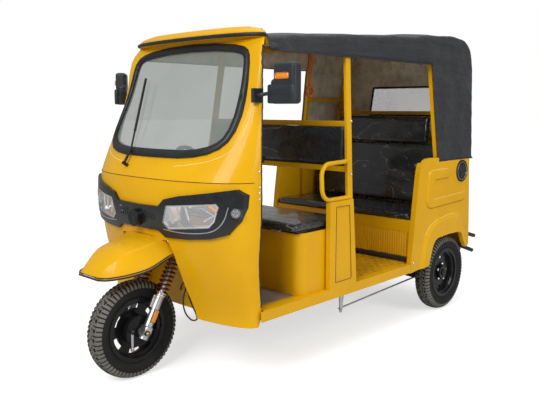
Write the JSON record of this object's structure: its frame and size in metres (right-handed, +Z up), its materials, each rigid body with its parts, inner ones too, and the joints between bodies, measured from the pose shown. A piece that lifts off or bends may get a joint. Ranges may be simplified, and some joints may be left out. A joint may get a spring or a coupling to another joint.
{
  "type": "auto rickshaw",
  "caption": "Three-wheeled passenger rickshaw: yellow body, steered front wheel with mudguard, driver seat, rear bench, fabric canopy and open doorways.",
  "frame": {"origin": "on the ground under the middle of the vehicle's outline", "axes": "+Z up, the front faces -Y, the vehicle's left side is +X"},
  "size_m": [1.5333, 2.8386, 1.923],
  "materials": {
    "yellow_paint": "glossy warm yellow paint",
    "floor_paint": "worn brown floor paint",
    "black_paint": "satin black chassis paint",
    "rim_black": "gloss black wheel paint",
    "silver_paint": "silver cast alloy paint",
    "red_paint": "dark red spring paint",
    "seal_rubber": "matt black extruded rubber",
    "windshield_glass": "clear laminated glass",
    "lamp_glass": "clear moulded lamp cover",
    "clear_sheet": "hazy clear plastic sheet",
    "lamp_reflector": "vacuum plated reflector",
    "black_gloss": "gloss black moulded plastic",
    "black_plastic": "grained black plastic",
    "mirror_plastic": "dark grey grained plastic",
    "seat_vinyl": "black vinyl under creased clear wrap",
    "canopy_fabric": "charcoal coated canvas",
    "strap_webbing": "rust brown woven webbing",
    "cast_metal": "plain cast metal",
    "spring_steel": "dark spring steel",
    "bright_steel": "bright plated steel",
    "tyre_rubber": "black tyre rubber",
    "tail_lens": "red and amber moulded lamp lens"
  },
  "bodies": {
    "body": {"chassis_frame": "black_paint", "floor_pan": "floor_paint", "sills": "yellow_paint", "nose_panel": "yellow_paint", "front_wheel_well": "yellow_paint", "windshield_frame": "yellow_paint", "windshield_seal": "seal_rubber", "windshield_glass": "windshield_glass", "roof_cap": "yellow_paint", "lamp_fascia": "black_gloss", "headlamp_lenses": "lamp_glass", "headlamp_bowls": "lamp_reflector", "front_mudguard": "yellow_paint", "wiper": "black_plastic", "door_mirrors": "mirror_plastic", "dash_shelf": "black_plastic", "door_pillars": "yellow_paint", "partition_bars": "yellow_paint", "driver_backrest": "seat_vinyl", "driver_seat_box": "yellow_paint", "quarter_panels": "yellow_paint", "rear_wall": "yellow_paint", "bench_base": "yellow_paint", "bench_cushion": "seat_vinyl", "bench_backrests": "seat_vinyl", "upper_frame": "yellow_paint", "canopy": "canopy_fabric", "rear_window": "clear_sheet", "grab_strap": "strap_webbing", "engine_block": "cast_metal", "rear_axle": "black_paint", "leaf_springs": "spring_steel", "rear_bumper": "black_paint", "brake_rod": "bright_steel", "side_badges": "black_gloss", "tail_lamps": "tail_lens", "front_cable": "black_plastic"},
    "steering": {"fork_crown": "bright_steel", "fork_sliders": "silver_paint", "fork_springs": "red_paint", "front_axle": "silver_paint", "handlebar": "black_paint"},
    "front_wheel": {"front_tyre": "tyre_rubber", "front_rim": "rim_black"},
    "rear_wheel_left": {"rear_tyre_left": "tyre_rubber", "rear_rim_left": "rim_black"},
    "rear_wheel_right": {"rear_tyre_right": "tyre_rubber", "rear_rim_right": "rim_black"},
    "driver_seat_lid": {"driver_cushion": "seat_vinyl"}
  },
  "joints": [
    {"name": "steering_turn", "type": "hinge", "parent": "body", "child": "steering", "pos_m": [0, -0.88575, 0.655], "axis": [0, 0.4848, 0.8746], "range_deg": [-35, 35]},
    {"name": "front_wheel_spin", "type": "hinge", "parent": "steering", "child": "front_wheel", "pos_m": [0, -1.16175, 0.2575], "axis": [1, 0, 0], "continuous": true},
    {"name": "rear_wheel_left_spin", "type": "hinge", "parent": "body", "child": "rear_wheel_left", "pos_m": [0.548, 1.02825, 0.2575], "axis": [1, 0, 0], "continuous": true},
    {"name": "rear_wheel_right_spin", "type": "hinge", "parent": "body", "child": "rear_wheel_right", "pos_m": [-0.548, 1.02825, 0.2575], "axis": [1, 0, 0], "continuous": true},
    {"name": "driver_seat_lift", "type": "hinge", "parent": "body", "child": "driver_seat_lid", "pos_m": [0, -0.12675, 0.748], "axis": [-1, 0, 0], "range_deg": [0, 70]}
  ]
}
